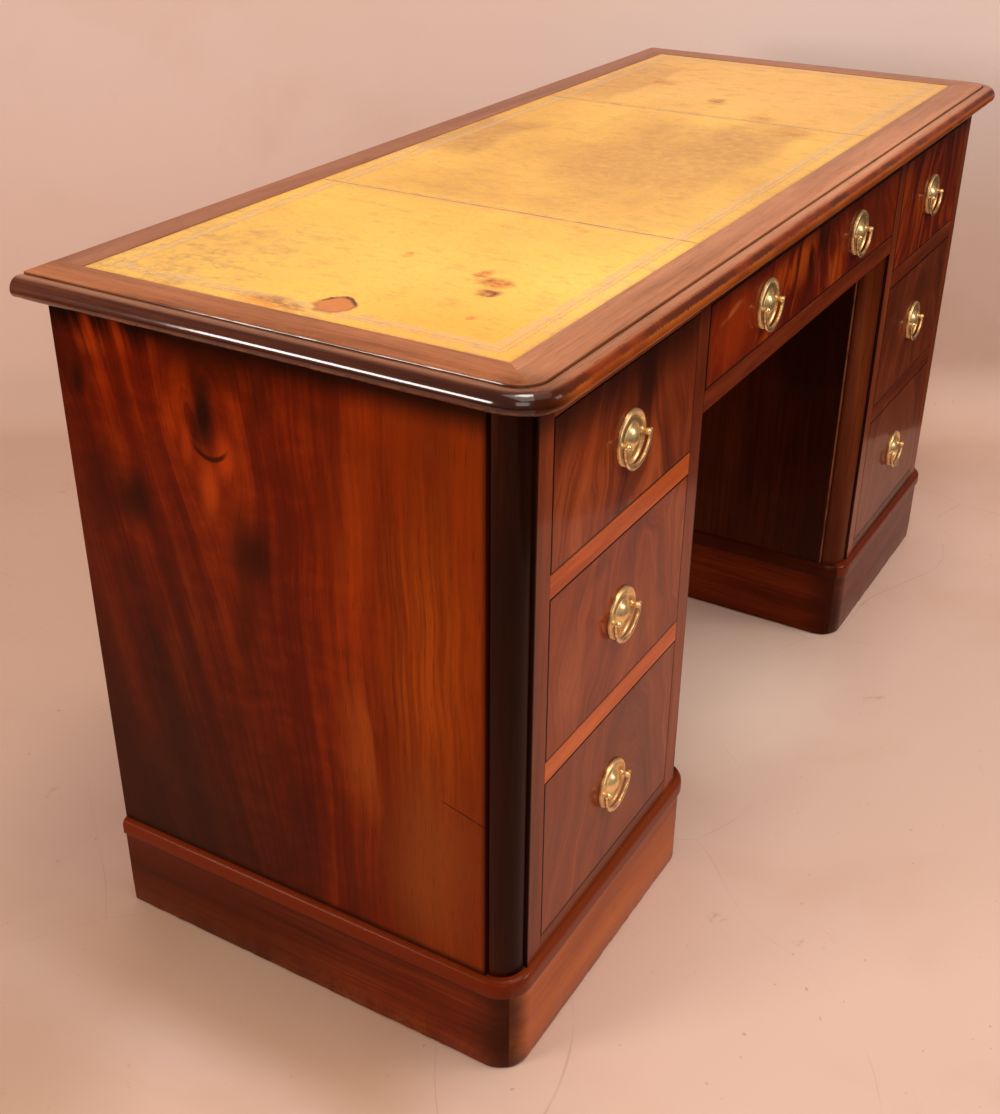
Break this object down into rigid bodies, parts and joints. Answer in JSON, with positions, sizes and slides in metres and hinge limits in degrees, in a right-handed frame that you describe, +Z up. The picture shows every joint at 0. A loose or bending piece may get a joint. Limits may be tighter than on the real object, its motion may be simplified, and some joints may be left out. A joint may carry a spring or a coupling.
{
  "type": "pedestal desk",
  "caption": "Mahogany twin-pedestal kneehole writing desk with an inset leather top, graduated drawers, a frieze drawer, moulded plinths and round brass ring pulls.",
  "frame": {"origin": "on the floor, under the middle of the top", "axes": "+Z up, +X along the width, the drawer fronts face -Y"},
  "size_m": [1.422, 0.572, 0.762],
  "materials": {
    "mahogany": "french polished, aged",
    "top_mahogany": "polished, faded by light, worn on its arrises",
    "flame_mahogany": "flame veneer, french polished",
    "plinth_mahogany": "polished, scuffed",
    "lining_wood": "bare, planed",
    "ground_wood": "bare, planed",
    "back_wood": "stained, dull",
    "base_wood": "dark stained",
    "leather": "mustard hide, blind tooled, stained",
    "brass": "polished, lightly tarnished"
  },
  "bodies": {
    "desk": {"top_ground": "ground_wood", "top_border": "top_mahogany", "writing_leather": "leather", "left_end_panel": "mahogany", "right_end_panel": "mahogany", "left_inner_panel": "mahogany", "right_inner_panel": "mahogany", "left_back_panel": "back_wood", "right_back_panel": "back_wood", "frieze_back_panel": "back_wood", "corner_columns": "mahogany", "front_stiles": "mahogany", "left_rails": "mahogany", "right_rails": "mahogany", "frieze_rails": "mahogany", "left_runners": "lining_wood", "right_runners": "lining_wood", "frieze_runners": "lining_wood", "frieze_dividers": "lining_wood", "drawer_stops": "lining_wood", "left_plinth": "plinth_mahogany", "right_plinth": "plinth_mahogany", "floor_boards": "lining_wood", "base_strips": "base_wood"},
    "left_upper_drawer": {"left_upper_drawer_front": "flame_mahogany", "left_upper_drawer_box": "lining_wood", "left_upper_drawer_bottom": "lining_wood", "left_upper_drawer_handle": "brass"},
    "left_upper_drawer_bail": {"left_upper_drawer_bail": "brass"},
    "left_middle_drawer": {"left_middle_drawer_front": "flame_mahogany", "left_middle_drawer_box": "lining_wood", "left_middle_drawer_bottom": "lining_wood", "left_middle_drawer_handle": "brass"},
    "left_middle_drawer_bail": {"left_middle_drawer_bail": "brass"},
    "left_lower_drawer": {"left_lower_drawer_front": "flame_mahogany", "left_lower_drawer_box": "lining_wood", "left_lower_drawer_bottom": "lining_wood", "left_lower_drawer_handle": "brass"},
    "left_lower_drawer_bail": {"left_lower_drawer_bail": "brass"},
    "right_upper_drawer": {"right_upper_drawer_front": "flame_mahogany", "right_upper_drawer_box": "lining_wood", "right_upper_drawer_bottom": "lining_wood", "right_upper_drawer_handle": "brass"},
    "right_upper_drawer_bail": {"right_upper_drawer_bail": "brass"},
    "right_middle_drawer": {"right_middle_drawer_front": "flame_mahogany", "right_middle_drawer_box": "lining_wood", "right_middle_drawer_bottom": "lining_wood", "right_middle_drawer_handle": "brass"},
    "right_middle_drawer_bail": {"right_middle_drawer_bail": "brass"},
    "right_lower_drawer": {"right_lower_drawer_front": "flame_mahogany", "right_lower_drawer_box": "lining_wood", "right_lower_drawer_bottom": "lining_wood", "right_lower_drawer_handle": "brass"},
    "right_lower_drawer_bail": {"right_lower_drawer_bail": "brass"},
    "frieze_drawer": {"frieze_drawer_front": "flame_mahogany", "frieze_drawer_box": "lining_wood", "frieze_drawer_bottom": "lining_wood", "frieze_drawer_handle": "brass"},
    "frieze_drawer_left_bail": {"frieze_drawer_left_bail": "brass"},
    "frieze_drawer_right_bail": {"frieze_drawer_right_bail": "brass"}
  },
  "joints": [
    {"name": "left_upper_drawer_slide", "type": "slide", "parent": "desk", "child": "left_upper_drawer", "axis": [0, -1, 0], "range_m": [0, 0.38]},
    {"name": "left_upper_drawer_bail_swing", "type": "hinge", "parent": "left_upper_drawer", "child": "left_upper_drawer_bail", "pos_m": [-0.4905, -0.2675, 0.6415], "axis": [-1, 0, 0], "range_deg": [-4, 184]},
    {"name": "left_middle_drawer_slide", "type": "slide", "parent": "desk", "child": "left_middle_drawer", "axis": [0, -1, 0], "range_m": [0, 0.38]},
    {"name": "left_middle_drawer_bail_swing", "type": "hinge", "parent": "left_middle_drawer", "child": "left_middle_drawer_bail", "pos_m": [-0.4905, -0.2675, 0.452], "axis": [-1, 0, 0], "range_deg": [-4, 184]},
    {"name": "left_lower_drawer_slide", "type": "slide", "parent": "desk", "child": "left_lower_drawer", "axis": [0, -1, 0], "range_m": [0, 0.38]},
    {"name": "left_lower_drawer_bail_swing", "type": "hinge", "parent": "left_lower_drawer", "child": "left_lower_drawer_bail", "pos_m": [-0.4905, -0.2675, 0.2405], "axis": [-1, 0, 0], "range_deg": [-4, 184]},
    {"name": "right_upper_drawer_slide", "type": "slide", "parent": "desk", "child": "right_upper_drawer", "axis": [0, -1, 0], "range_m": [0, 0.38]},
    {"name": "right_upper_drawer_bail_swing", "type": "hinge", "parent": "right_upper_drawer", "child": "right_upper_drawer_bail", "pos_m": [0.4905, -0.2675, 0.6415], "axis": [-1, 0, 0], "range_deg": [-4, 184]},
    {"name": "right_middle_drawer_slide", "type": "slide", "parent": "desk", "child": "right_middle_drawer", "axis": [0, -1, 0], "range_m": [0, 0.38]},
    {"name": "right_middle_drawer_bail_swing", "type": "hinge", "parent": "right_middle_drawer", "child": "right_middle_drawer_bail", "pos_m": [0.4905, -0.2675, 0.452], "axis": [-1, 0, 0], "range_deg": [-4, 184]},
    {"name": "right_lower_drawer_slide", "type": "slide", "parent": "desk", "child": "right_lower_drawer", "axis": [0, -1, 0], "range_m": [0, 0.38]},
    {"name": "right_lower_drawer_bail_swing", "type": "hinge", "parent": "right_lower_drawer", "child": "right_lower_drawer_bail", "pos_m": [0.4905, -0.2675, 0.2405], "axis": [-1, 0, 0], "range_deg": [-4, 184]},
    {"name": "frieze_drawer_slide", "type": "slide", "parent": "desk", "child": "frieze_drawer", "axis": [0, -1, 0], "range_m": [0, 0.38]},
    {"name": "frieze_drawer_left_bail_swing", "type": "hinge", "parent": "frieze_drawer", "child": "frieze_drawer_left_bail", "pos_m": [-0.155, -0.2675, 0.6705], "axis": [-1, 0, 0], "range_deg": [-4, 184]},
    {"name": "frieze_drawer_right_bail_swing", "type": "hinge", "parent": "frieze_drawer", "child": "frieze_drawer_right_bail", "pos_m": [0.155, -0.2675, 0.6705], "axis": [-1, 0, 0], "range_deg": [-4, 184]}
  ]
}
